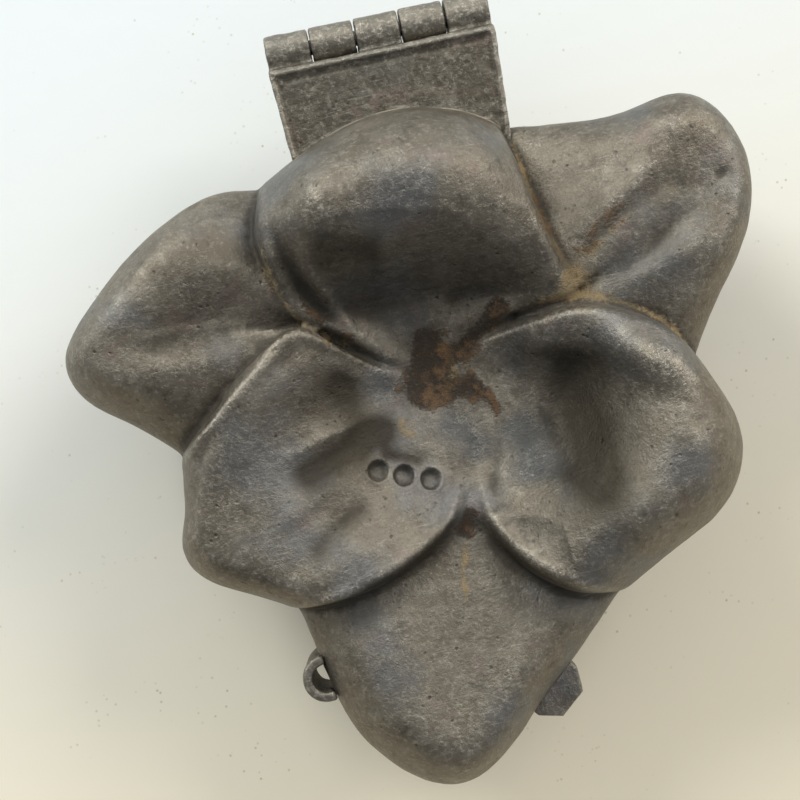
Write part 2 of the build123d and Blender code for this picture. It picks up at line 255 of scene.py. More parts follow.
@dataclass(frozen=True)
class Stroke:
    """A ridge or groove drawn along a line on the skin of a piece."""

    points: tuple[Point, ...]
    rise: float
    width: float
    profile: Profile = Profile.SOFT
    fade: float = 0.2

    def line(self, pieces: int = 12) -> np.ndarray:
        """The points with a smooth curve between them.

        Args:
            pieces: How many pieces the curve has from one point to the next.

        Returns:
            One row for each point of the curve.
        """
        knots = np.array(self.points, dtype=float)
        padded = np.concatenate([2 * knots[:1] - knots[1:2], knots, 2 * knots[-1:] - knots[-2:-1]])
        out = []
        for k in range(len(knots) - 1):
            a, b, c, d = padded[k : k + 4]
            square, cube = 2 * a - 5 * b + 4 * c - d, 3 * b - a - 3 * c + d
            for t in np.arange(pieces) / pieces:
                out.append(0.5 * (2 * b + (c - a) * t + square * t**2 + cube * t**3))
        return np.array(out + [knots[-1]])

    def height(self, spots: np.ndarray) -> np.ndarray:
        """How far the stroke lifts each place, in millimetres.

        Args:
            spots: The places, of which x and y count.

        Returns:
            One number for each place.
        """
        line = self.line()
        low, high = line.min(axis=0) - 3 * self.width, line.max(axis=0) + 3 * self.width
        near = np.flatnonzero(((spots[:, :2] > low) & (spots[:, :2] < high)).all(axis=1))
        start, arm = line[:-1], line[1:] - line[:-1]
        length = np.maximum(np.linalg.norm(arm, axis=1), 1e-6)
        done = np.concatenate([[0], np.cumsum(length)])
        away = np.full(len(near), np.inf)
        share = np.zeros(len(near))
        for k in range(len(arm)):
            off = spots[near, :2] - start[k]
            t = np.clip(off @ arm[k] / length[k] ** 2, 0, 1)
            gap = np.linalg.norm(off - t[:, None] * arm[k], axis=1)
            closer = gap < away
            away = np.where(closer, gap, away)
            share = np.where(closer, (done[k] + t * length[k]) / done[-1], share)
        ends = ease(0, self.fade, share) * ease(0, self.fade, 1 - share)
        out = np.zeros(len(spots))
        out[near] = self.rise * self.profile.across(away / self.width) * ends
        return out


@dataclass(frozen=True)
class Dent:
    """A round or oval hollow, or a boss where its rise is positive."""

    centre: Point
    radius: float
    rise: float
    stretch: float = 1.0
    turn: float = 0.0
    flatness: float = 2.0

    def height(self, spots: np.ndarray) -> np.ndarray:
        """How far the dent lifts each place, in millimetres."""
        off = spots[:, :2] - np.array(self.centre)
        angle = math.radians(self.turn)
        along = off[:, 0] * math.cos(angle) + off[:, 1] * math.sin(angle)
        across = off[:, 1] * math.cos(angle) - off[:, 0] * math.sin(angle)
        away = np.sqrt((along / self.stretch) ** 2 + across**2) / self.radius
        return self.rise * np.exp(-(away**self.flatness))


class Tone(Enum):
    """What age has left on the skin, and painted shade: the dark tone is grime, and it also paints the shade
    in hollows and grooves. The value is the vertex attribute that holds it.
    """

    RUST = "rust"
    OCHRE = "ochre"
    SHADE_AND_GRIME = "shade_and_grime"
    ASH = "ash"


RAGGED = (Tone.RUST, Tone.OCHRE)
HELD = ("relief", "inside", "hollow") + tuple(tone.value for tone in Tone)


def hold(mesh: bpy.types.Mesh, **values: np.ndarray | float) -> None:
    """Keeps what the finish reads on a mesh's vertices, with nothing where nothing is given.

    Args:
        mesh: The mesh of a finished piece.
        values: By the names in HELD, one number for each vertex, or one for them all.
    """
    for name in HELD:
        numbers = np.full(len(mesh.vertices), values.get(name, 0.0), dtype=np.float32)
        mesh.attributes.new(name, "FLOAT", "POINT").data.foreach_set("value", numbers)


@dataclass(frozen=True)
class Patch:
    """A soft-edged patch of one tone, drawn along a line or round a point."""

    tone: Tone
    points: tuple[Point, ...]
    width: float
    strength: float
    fade: float = 0.22

    def amount(self, spots: np.ndarray) -> np.ndarray:
        """How much of the tone lies on each place, from 0 to 1.

        Args:
            spots: The places, of which x and y count.

        Returns:
            One number for each place.
        """
        if len(self.points) > 1:
            return Stroke(self.points, self.strength, self.width, fade=self.fade).height(spots)
        return Dent(self.points[0], self.width, self.strength).height(spots)


# Finishes


class Board:
    """Adds nodes to one shader tree and joins them."""

    def __init__(self, tree: bpy.types.NodeTree) -> None:
        """Takes the tree that is built."""
        self.tree = tree

    def feed(self, node: bpy.types.Node, inputs: dict) -> None:
        """Fills a node's sockets.

        Args:
            node: The node.
            inputs: For its sockets, by name or number, a value or a socket to link from.
        """
        for key, value in inputs.items():
            if isinstance(value, Socket):
                self.tree.links.new(value, node.inputs[key])
            else:
                node.inputs[key].default_value = value

    def add(self, kind: str, inputs: dict | None = None, **settings: object) -> bpy.types.Node:
        """Adds one node.

        Args:
            kind: The node's type, without the words before it.
            inputs: For its sockets, by name or number, a value or a socket to link from.
            settings: Its own settings by name.

        Returns:
            The new node.
        """
        node = self.tree.nodes.new("ShaderNode" + kind)
        for name, value in settings.items():
            setattr(node, name, value)
        self.feed(node, inputs or {})
        return node

    def math(self, operation: str, *values: object, clamp: bool = False) -> Socket:
        """A sum on one to three values or sockets."""
        inputs = dict(enumerate(values))
        return self.add("Math", inputs, operation=operation, use_clamp=clamp).outputs[0]

    def total(self, base: float, *parts: tuple[object, float], clamp: bool = False) -> Socket:
        """A base value with each part's value times its weight added to it.

        Args:
            base: The value to start from.
            parts: Pairs of a socket and its weight.
            clamp: Whether the total is kept from 0 to 1.

        Returns:
            The total.
        """
        out = base
        for k, (value, weight) in enumerate(parts, start=1):
            out = self.math("MULTIPLY_ADD", value, weight, out, clamp=clamp and k == len(parts))
        return out

    def mix(self, share: object, first: object, second: object) -> Socket:
        """The colour between two colours at a share."""
        return self.add("Mix", {0: share, 6: first, 7: second}, data_type="RGBA").outputs[2]

    def coated(self, tone: object, *coats: tuple[object, float, object]) -> Socket:
        """A colour with coats of other colours over it.

        Args:
            tone: The colour below.
            coats: From the lowest up, each coat's mask, its strength and its colour.

        Returns:
            The colour that shows.
        """
        for mask, strength, colour in coats:
            tone = self.mix(self.math("MULTIPLY", mask, strength), tone, colour)
        return tone

    def between(self, value: object, low: float, high: float) -> Socket:
        """From 0 where the value is low to 1 where it is high, with level ends."""
        inputs = {"Value": value, "From Min": low, "From Max": high}
        return self.add("MapRange", inputs, interpolation_type="SMOOTHSTEP").outputs[0]

    def noise(self, spot: object, scale: float, detail: float, roughness: float = 0.5) -> Socket:
        """Cloudy values from 0 to 1."""
        inputs = {"Vector": spot, "Scale": scale, "Detail": detail, "Roughness": roughness}
        return self.add("TexNoise", inputs).outputs[0]

    def cells(self, spot: object, scale: float, feature: str) -> Socket:
        """Distances in a pattern of uneven cells."""
        return self.add("TexVoronoi", {"Vector": spot, "Scale": scale}, feature=feature).outputs["Distance"]

    def bumped(self, height: Socket, strength: float = 1.0) -> Socket:
        """The normal of a skin with a height in millimetres."""
        return self.add("Bump", {"Height": height, "Distance": MM, "Strength": strength}).outputs[0]


def new_group(name: str, takes: tuple[str, ...], build: Callable) -> bpy.types.NodeTree:
    """A node group for an effect that several materials use.

    Args:
        name: The group's name.
        takes: Its inputs. The one called Vector is a vector, the rest are numbers.
        build: Takes a board and the inputs, and gives the outputs by name, all numbers.

    Returns:
        The group.
    """
    group = bpy.data.node_groups.new(name, "ShaderNodeTree")
    for socket in takes:
        kind = "NodeSocketVector" if socket == "Vector" else "NodeSocketFloat"
        group.interface.new_socket(socket, in_out="INPUT", socket_type=kind)
    board = Board(group)
    found = build(board, group.nodes.new("NodeGroupInput").outputs)
    for socket in found:
        group.interface.new_socket(socket, in_out="OUTPUT", socket_type="NodeSocketFloat")
    board.feed(group.nodes.new("NodeGroupOutput"), found)
    return group


def cast_skin(board: Board, given: object) -> dict[str, Socket]:
    """The unevenness of an old casting: clouds of tone, blotches, fine grain and pits."""
    scaled = {0: given["Vector"], "Scale": given["Coarseness"]}
    spot = board.add("VectorMath", scaled, operation="SCALE").outputs[0]
    aside = board.add("VectorMath", {0: spot, 1: (3.1, 1.7, 5.3)}, operation="ADD").outputs[0]
    holes = board.math("SUBTRACT", 1.0, board.between(board.cells(aside, 900, "F1"), 0.10, 0.34))
    rare = board.between(board.noise(aside, 500, 2), 0.55, 0.70)
    return {
        "Clouds": board.between(board.noise(spot, 110, 5, 0.62), 0.34, 0.66),
        "Blotches": board.between(board.noise(aside, 320, 6, 0.7), 0.40, 0.66),
        "Mottle": board.between(board.noise(aside, 620, 4, 0.7), 0.52, 0.70),
        "Speckle": board.between(board.noise(aside, 1300, 5, 0.8), 0.50, 0.64),
        "Grain": board.between(board.noise(spot, 2600, 3, 0.7), 0.30, 0.72),
        "Pits": board.math("MULTIPLY", holes, rare),
    }


def edge_wear_and_light(board: Board, given: object) -> dict[str, Socket]:
    """Masks of the crests, which the finish paints paler as polish and as a painted highlight, and of the
    creases, which it paints darker as grime and as painted shade.
    """
    unrest = board.math("SUBTRACT", given["Speckle"], 0.5)
    shown = board.math("MULTIPLY_ADD", unrest, 0.5, given["Relief"])
    return {
        "Crest": board.between(shown, 0.15, 1.1),
        "Crease": board.between(board.math("MULTIPLY", shown, -1.0), 0.15, 1.1),
    }


def fine_scratches(board: Board, given: object) -> dict[str, Socket]:
    """Fine scratches that run in two ways over the metal."""
    found = []
    for turn, seed in ((0.6, 11.0), (-0.9, 47.0)):
        placed = {"Vector": given["Vector"], "Location": (seed, seed, 0.0), "Rotation": (0.0, 0.0, turn)}
        lines = board.add("Mapping", placed | {"Scale": (120.0, 3200.0, 400.0)}).outputs[0]
        found.append(board.between(board.noise(lines, 1.0, 2, 0.4), 0.66, 0.76))
    both = board.math("MAXIMUM", *found)
    return {"Scratches": board.math("MULTIPLY", both, given["Amount"])}


@dataclass(frozen=True)
class Toolbox:
    """The node groups that the finishes share."""

    skin: bpy.types.NodeTree
    lit_and_worn_edges: bpy.types.NodeTree
    scratches: bpy.types.NodeTree

    @classmethod
    def build(cls) -> "Toolbox":
        """Builds each group once."""
        return cls(
            new_group("cast_skin", ("Vector", "Coarseness"), cast_skin),
            new_group("edge_wear_and_light", ("Relief", "Speckle"), edge_wear_and_light),
            new_group("fine_scratches", ("Vector", "Amount"), fine_scratches),
        )


@dataclass(frozen=True)
class Finish:
    """A material that is worked out from places on the piece."""

    name: str

    def build(self, *tools: Toolbox) -> bpy.types.Material:
        """Makes the material.

        Args:
            tools: The shared node groups, where the finish uses them.

        Returns:
            The material.
        """
        material = bpy.data.materials.new(self.name)
        material.use_nodes = True
        board = Board(material.node_tree)
        spot = board.add("TexCoord").outputs["Object"]
        board.feed(material.node_tree.nodes["Principled BSDF"], self.look(board, spot, *tools))
        return material

    def look(self, board: Board, spot: Socket, *tools: Toolbox) -> dict[str, object]:
        """What the shader's sockets take, by name."""
        raise NotImplementedError


@dataclass(frozen=True)
class PewterFinish(Finish):
    """Cast pewter, dark and mottled with age, pale on the crests as polish and as a painted highlight, dark
    in creases, hollows and dark patches as grime and as painted shade, and brown where residue sits.

    A piece that wears it keeps the numbers in HELD on its vertices.
    """

    pale: Colour = srgb(178, 171, 155)
    middle: Colour = srgb(123, 115, 101)
    dark: Colour = srgb(104, 96, 83)
    cool: Colour = srgb(107, 111, 115)
    rosy: Colour = srgb(124, 103, 96)
    # The darkest tone: grime, and also the painted shade in creases, hollows and dark patches.
    shade_and_grime: Colour = srgb(49, 43, 32)
    rust: Colour = srgb(104, 76, 46)
    soot: Colour = srgb(46, 34, 19)
    ochre: Colour = srgb(158, 135, 92)
    ash: Colour = srgb(80, 81, 80)
    metallic: float = 0.82
    roughness: float = 0.44
    coarseness: float = 1.0
    grain_depth: float = 0.026
    pit_depth: float = 0.10
    scratching: float = 0.5
    rubbing_and_highlight: float = 0.12
    cleaner_inside: float = 0.5

    def look(self, board: Board, spot: Socket, *tools: Toolbox) -> dict[str, object]:
        """What the shader's sockets take, by name."""
        masks = self.masks(board, spot, *tools)
        metal = (masks["crusted"], -0.7 * self.metallic), (masks["Crease"], -0.25)
        return {
            "Base Color": self.tone(board, spot, masks),
            "Roughness": self.dullness(board, masks),
            "Metallic": board.total(self.metallic, *metal, clamp=True),
            "Normal": board.bumped(self.height(board, masks)),
        }

    def masks(self, board: Board, spot: Socket, tools: Toolbox) -> dict[str, Socket]:
        """Where each effect shows.

        Args:
            board: The board of the material.
            spot: The place on the piece.
            tools: The shared node groups.

        Returns:
            Masks from 0 to 1 by name: what the vertices hold, and what the groups give.
        """
        found = {name: board.add("Attribute", attribute_name=name).outputs["Fac"] for name in HELD}
        skin = {"Vector": spot, "Coarseness": self.coarseness}
        found |= dict(board.add("Group", skin, node_tree=tools.skin).outputs.items())
        lit_and_worn_edges = {"Relief": found["relief"], "Speckle": found["Blotches"]}
        found |= dict(board.add("Group", lit_and_worn_edges, node_tree=tools.lit_and_worn_edges).outputs.items())
        scratches = {"Vector": spot, "Amount": self.scratching}
        found |= dict(board.add("Group", scratches, node_tree=tools.scratches).outputs.items())
        for tone in RAGGED:
            found[tone.value] = self.broken(board, found[tone.value], found)
        found["cracks"] = self.crackle(board, spot, found)
        scale = board.math("MULTIPLY", found["ochre"], 0.7)
        found["crusted"] = board.math("MAXIMUM", found["rust"], scale)
        return found

    def broken(self, board: Board, held: Socket, masks: dict[str, Socket]) -> Socket:
        """A patch's mask with a ragged edge.

        Args:
            board: The board of the material.
            held: How much of the tone the vertices hold.
            masks: The masks that break the edge up.

        Returns:
            The mask from 0 to 1.
        """
        unrest = board.math("MULTIPLY_ADD", board.math("SUBTRACT", masks["Blotches"], 0.5), 0.65, held)
        unrest = board.math("MULTIPLY_ADD", board.math("SUBTRACT", masks["Grain"], 0.5), 0.25, unrest)
        return board.math("MULTIPLY", board.between(unrest, 0.15, 0.75), board.between(held, 0.02, 0.20))

    def crackle(self, board: Board, spot: Socket, masks: dict[str, Socket]) -> Socket:
        """Fine uneven cracks in the grey film.

        Args:
            board: The board of the material.
            spot: The place on the piece.
            masks: The masks that say where the film lies.

        Returns:
            The mask from 0 to 1.
        """
        drift = board.add("TexNoise", {"Vector": spot, "Scale": 700.0, "Detail": 4.0}).outputs["Color"]
        moved = {0: drift, 1: (0.003, 0.003, 0.003), 2: spot}
        bent = board.add("VectorMath", moved, operation="MULTIPLY_ADD").outputs[0]
        edges = board.between(board.cells(bent, 760, "DISTANCE_TO_EDGE"), 0.0, 0.10)
        filmed = board.math("MULTIPLY", masks["ash"], board.between(masks["Blotches"], 0.2, 0.7))
        return board.math("MULTIPLY", board.math("SUBTRACT", 1.0, edges), filmed)

    def tone(self, board: Board, spot: Socket, masks: dict[str, Socket]) -> Socket:
        """The colour of the metal and of what lies on it, with painted shade in the creases, hollows and
        dark patches and a painted highlight on the crests.

        Args:
            board: The board of the material.
            spot: The place on the piece.
            masks: Where each effect shows.

        Returns:
            The colour.
        """
        coolness = board.between(board.noise(spot, 70, 3), 0.46, 0.68)
        rosiness = board.between(board.noise(spot, 160, 5, 0.65), 0.55, 0.70)
        rubbed_and_highlit = board.math("MULTIPLY", masks["Crest"], board.total(self.rubbing_and_highlight, (masks["Speckle"], 0.40)))
        flakes = board.math("MULTIPLY_ADD", masks["Mottle"], -0.35, masks["Blotches"])
        flakes = board.math("MULTIPLY_ADD", masks["Grain"], 0.35, flakes)
        crust = board.mix(board.between(flakes, 0.40, 1.35), self.soot, self.rust)
        return board.coated(
            board.mix(masks["Clouds"], self.dark, self.middle),
            (masks["Blotches"], 0.16, self.pale),
            (masks["Speckle"], 0.34, self.pale),
            (masks["Grain"], 0.22, self.dark),
            (masks["Mottle"], 0.36, self.shade_and_grime),
            (masks["Pits"], 0.60, self.shade_and_grime),
            (coolness, 0.45, self.cool),
            (rosiness, 0.35, self.rosy),
            (masks["inside"], self.cleaner_inside, self.middle),
            # Paler crests: polish, and a painted highlight.
            (rubbed_and_highlit, 1.0, self.pale),
            # Darker creases: grime, and painted shade.
            (masks["Crease"], 0.55, self.shade_and_grime),
            # Darker wide hollows: patina, and painted shade.
            (masks["hollow"], 0.45, self.shade_and_grime),
            (masks["Scratches"], 0.35, self.pale),
            # Dark patches: painted shade, with some grime and soot.
            (masks["shade_and_grime"], 0.85, self.shade_and_grime),
            (masks["ash"], 0.80, self.ash),
            (masks["cracks"], 0.28, self.pale),
            (masks["ochre"], 0.62, self.ochre),
            (masks["rust"], 0.90, crust),
        )

    def dullness(self, board: Board, masks: dict[str, Socket]) -> Socket:
        """How rough the metal is where it is clouded, rubbed, creased or covered."""
        parts = (("Clouds", 0.12), ("Crest", -0.08), ("Crease", 0.18), ("ash", -0.06), ("shade_and_grime", 0.10))
        parts = tuple((masks[name], weight) for name, weight in parts)
        return board.total(self.roughness, *parts, (masks["crusted"], 0.30), clamp=True)

    def height(self, board: Board, masks: dict[str, Socket]) -> Socket:
        """The fine height of the skin in millimetres."""
        uneven = board.math("ADD", masks["Grain"], masks["Blotches"])
        return board.total(
            0.0,
            (masks["Grain"], self.grain_depth),
            (masks["Blotches"], 0.06),
            (masks["Speckle"], 0.02),
            (masks["Pits"], -self.pit_depth),
            (masks["Scratches"], -0.01),
            (board.math("MULTIPLY", uneven, masks["crusted"]), 0.06),
            (masks["cracks"], 0.03),
        )


@dataclass(frozen=True)
class SteelWireFinish(Finish):
    """Drawn steel wire, grey, with fine drawn lines and a little rust."""

    bright: Colour = srgb(160, 158, 154)
    dull: Colour = srgb(104, 100, 94)
    rust: Colour = srgb(112, 74, 46)
    coarseness: float = 1.6

    def look(self, board: Board, spot: Socket, *tools: Toolbox) -> dict[str, object]:
        """What the shader's sockets take, by name."""
        placed = {"Vector": spot, "Coarseness": self.coarseness}
        skin = board.add("Group", placed, node_tree=tools[0].skin).outputs
        drawn = board.add("Mapping", {"Vector": spot, "Scale": (90.0, 5200.0, 5200.0)}).outputs[0]
        lines = board.between(board.noise(drawn, 1.0, 2), 0.40, 0.62)
        rusty = board.math("MULTIPLY", board.between(skin["Blotches"], 0.55, 0.9), 0.6)
        return {
            "Base Color": board.mix(rusty, board.mix(lines, self.dull, self.bright), self.rust),
            "Roughness": board.total(0.32, (rusty, 0.4)),
            "Metallic": board.total(0.95, (rusty, -0.8)),
            "Normal": board.bumped(board.total(0.0, (skin["Grain"], 0.01), (lines, 0.01))),
        }


@dataclass(frozen=True)
class TableFinish(Finish):
    """The pale painted table top, cool towards the window and cream away from it: the slope paints the
    window light's tint and falloff across the table.
    """

    cool: Colour = srgb(238, 242, 239)
    cream: Colour = srgb(240, 229, 202)
    speck: Colour = srgb(186, 172, 140)
    slope: Place = (1.2, -6.5, 0.0)
    middle: float = 0.55
    roughness: float = 0.9
    gloss: float = 0.05

    def look(self, board: Board, spot: Socket, *tools: Toolbox) -> dict[str, object]:
        """What the shader's sockets take, by name."""
        # Painted light: the colour slopes from cool near the window to cream away from it.
        way = board.add("VectorMath", {0: spot, 1: self.slope}, operation="DOT_PRODUCT").outputs["Value"]
        share = board.between(board.math("ADD", way, self.middle), 0.0, 1.0)
        near = board.math("SUBTRACT", 1.0, board.between(board.cells(spot, 640, "F1"), 0.05, 0.19))
        rare = board.between(board.noise(spot, 60, 4, 0.7), 0.52, 0.64)
        specks = board.math("MULTIPLY", near, rare)
        return {
            "Base Color": board.coated(board.mix(share, self.cool, self.cream), (specks, 0.7, self.speck)),
            "Roughness": self.roughness,
            "Specular IOR Level": self.gloss,
            "Normal": board.bumped(board.math("MULTIPLY", board.noise(spot, 240, 3), 0.1), 0.4),
        }


# The mold


@dataclass
class ShellHalf:
    """One cast half of the mold, worked from its CAD node."""

    node: str
    body: str
    side: int
    finish: PewterFinish
    marks: tuple[Stroke | Dent, ...]
    patches: tuple[Patch, ...] = ()
    folds: tuple[Stroke, ...] = ()
    punches: tuple[Point, ...] = ()
    grid: float = 0.54
    settling_rounds: int = 2
    fold_rounds: int = 87
    waviness: float = 0.30
    wave_size: float = 7.0
    punched_radius: float = 2.6
    near_rounds: int = 17
    wide_rounds: int = 116
    full_relief: float = 0.22
    full_hollow: float = 0.9

    def build(self, tools: Toolbox) -> bpy.types.Object:
        """Makes, sculpts and dresses the half.

        Args:
            tools: The shared node groups.

        Returns:
            The finished piece, which replaces its CAD node.
        """
        piece = copy_of(self.node, f"{self.node}_cast", self.grid)
        set_places(piece.data, relaxed(piece.data, places(piece.data), self.settling_rounds))
        self.soften(piece)
        self.wave(piece)
        self.press(piece, self.marks)
        self.punch(piece)
        self.close_seam(piece)
        self.weather(piece)
        smooth_by_angle(piece)
        piece.data.materials.append(self.finish.build(tools))
        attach(piece, self.body)
        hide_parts(self.node)
        return piece

    def outside(self, piece: bpy.types.Object) -> np.ndarray:
        """How much each vertex belongs to the outer skin, from 0 to 1."""
        return ease(0.02, 0.25, normals(piece.data)[:, 2] * self.side)

    def soften(self, piece: bpy.types.Object) -> None:
        """Evens the skin out where a fold is smoother than the CAD node has it."""
        if not self.folds:
            return
        spots = places(piece.data)
        share = np.clip(sum(fold.height(spots) for fold in self.folds), 0, 1) * self.outside(piece)
        even = relaxed(piece.data, spots, self.fold_rounds)
        set_places(piece.data, spots + (even - spots) * share[:, None])

    def wave(self, piece: bpy.types.Object, steps: int = 4) -> None:
        """Gives the outer skin two sizes of waves.

        Args:
            piece: The half.
            steps: In how many steps the waves fade out towards the inside.
        """
        group = piece.vertex_groups.new(name="outside")
        shares = self.outside(piece)
        for level in range(1, steps + 1):
            chosen = np.flatnonzero((shares > (level - 1) / steps) & (shares <= level / steps)).tolist()
            group.add(chosen, level / steps, "REPLACE")
        for part in (1, 3):
            press_waves(piece, self.wave_size / part, self.waviness / part, 1, vertex_group="outside")
        piece.vertex_groups.clear()

    def press(self, piece: bpy.types.Object, marks: tuple[Stroke | Dent, ...]) -> None:
        """Draws marks into the outer skin."""
        spots = places(piece.data)
        lift_along_normals(piece.data, sum(mark.height(spots) for mark in marks) * self.outside(piece))

    def punch(self, piece: bpy.types.Object) -> None:
        """Divides the skin finely round the punch marks, and presses them with their raised rims."""
        if not self.punches:
            return
        centres = of_faces(piece.data, "center") / MM
        near = [np.linalg.norm(centres[:, :2] - np.array(punch), axis=1) for punch in self.punches]
        outer = of_faces(piece.data, "normal")[:, 2] * self.side > 0
        select_faces(piece, (np.array(near) < self.punched_radius).any(axis=0) & outer)
        edit(piece, bpy.ops.mesh.subdivide, number_cuts=2)
        rims = tuple(Dent(punch, 1.90, 0.26, flatness=5) for punch in self.punches)
        pits = tuple(Dent(punch, 1.35, -1.05, flatness=7) for punch in self.punches)
        self.press(piece, rims + pits)

    def close_seam(self, piece: bpy.types.Object) -> None:
        """Keeps the whole half on its own side of the seam, and over the table."""
        spots = places(piece.data)
        face = SEAM_HEIGHT + self.side * SEAM_GAP / 2
        spots[:, 2] = face + self.side * np.maximum(self.side * (spots[:, 2] - face), 0)
        spots[:, 2] = np.maximum(spots[:, 2], 0)
        set_places(piece.data, spots)

    def weather(self, piece: bpy.types.Object) -> None:
        """Holds where crests, creases, hollows, residue and painted shade lie, and where the cavity is, for
        the finish to read.
        """
        spots = places(piece.data)
        outside = self.outside(piece)
        near = bulge(piece.data, spots, self.near_rounds)
        wide = bulge(piece.data, spots, self.wide_rounds)
        amounts = {tone.value: np.zeros(len(spots)) for tone in Tone}
        for patch in self.patches:
            amounts[patch.tone.value] += patch.amount(spots)
        hold(
            piece.data,
            relief=np.clip(near / self.full_relief, -RELIEF_LIMIT, RELIEF_LIMIT),
            inside=ease(0.0, 0.3, -normals(piece.data)[:, 2] * self.side),
            # Wide hollows, which the finish darkens as patina and as painted shade.
            hollow=ease(0.1, 0.9, -wide / self.full_hollow) * outside,
            **{name: np.clip(amount, 0, 1) * outside for name, amount in amounts.items()},
        )


def lower_left_petal() -> tuple[Stroke, ...]:
    """The rim line, the ribs and the hollows between them on the lower left petal."""
    return (
        Stroke(((-18.6, 11.2), (-25.1, 7.7), (-30.5, 4.2), (-33.5, 1.6)), 0.45, 0.5, Profile.CRISP),
        Stroke(((-22.1, 5.6), (-26.2, 3.0), (-29.8, 0.8)), 0.30, 1.5),
        Stroke(((-9.0, -2.8), (-18.9, -5.0), (-28.6, -7.9)), 0.45, 0.6, Profile.CRISP, fade=0.4),
        Stroke(((-8.0, -5.2), (-18.3, -7.4), (-29.0, -11.0)), -0.60, 2.0, fade=0.5),
        Stroke(((-13.4, -11.0), (-21.5, -12.9), (-30.2, -16.6)), 0.45, 1.5, fade=0.5),
        Stroke(((-12.2, -13.4), (-19.7, -17.2), (-26.4, -22.6)), -0.45, 1.6, fade=0.5),
        Stroke(((-33.7, -0.3), (-36.5, -4.8), (-39.3, -11.7), (-39.5, -15.6)), -0.30, 0.7),
        Stroke(((-39.2, -15.7), (-37.3, -18.5), (-32.9, -21.2), (-27.9, -23.7)), 0.25, 0.7, Profile.CRISP),
    )


def top_petal() -> tuple[Stroke, ...]:
    """The rim line, the groove inside it and the crest of the top petal."""
    rim = ((-23.0, 28.1), (-22.2, 22.2), (-20.9, 16.3), (-19.1, 11.6), (-15.6, 8.3), (-11.9, 5.8))
    crest = ((-14.7, 22.9), (-11.2, 24.1), (-4.4, 23.3), (2.3, 21.7), (7.4, 19.6))
    return (
        Stroke(rim, 0.40, 0.5, Profile.CRISP),
        Stroke(((-21.0, 26.2), (-19.9, 21.3), (-18.0, 16.1), (-15.6, 11.8), (-12.4, 8.5)), -0.85, 1.2),
        Stroke(((-16.4, 18.1), (-15.0, 14.9), (-13.6, 11.5), (-11.6, 8.8)), 0.45, 0.8),
        Stroke(crest, 0.25, 0.8, Profile.CRISP),
    )


def upper_outer_petals() -> tuple[Stroke, ...]:
    """The midrib of each of the two upper outer petals, with a groove beside it."""
    return (
        Stroke(((-43.9, 13.8), (-32.7, 13.5), (-21.6, 12.6)), 0.35, 0.7, Profile.CRISP),
        Stroke(((-44.0, 11.2), (-33.9, 10.8), (-22.6, 10.0)), -0.35, 1.8),
        Stroke(((20.4, 8.4), (26.6, 12.0), (31.6, 15.7), (36.6, 19.5)), 0.80, 2.4),
        Stroke(((19.8, 10.9), (24.3, 14.7), (28.9, 17.6), (34.3, 20.6)), -0.45, 1.4),
    )


def right_petal() -> tuple[Stroke, ...]:
    """The crest, the creases towards the throat and the lower edge of the right petal."""
    return (
        Stroke(((5.4, -2.3), (10.8, -7.4), (12.2, -13.5), (10.6, -22.3)), -0.25, 0.9, fade=0.5),
        Stroke(((-0.3, -20.2), (5.4, -21.1), (10.2, -22.0)), 0.25, 0.7),
        Stroke(((9.0, 1.6), (15.5, 1.4), (21.4, -0.4), (26.4, -4.6), (29.2, -10.0)), 0.85, 2.3),
        Stroke(((10.4, -22.0), (10.9, -27.4), (11.8, -32.2)), 0.30, 0.8, Profile.CRISP),
        Stroke(((1.6, 0.3), (3.7, -2.0), (5.1, -5.8)), 0.35, 0.5),
        Stroke(((5.0, -6.2), (4.5, -11.9), (2.3, -16.9), (-0.5, -18.9)), -0.30, 0.8, fade=0.5),
    )


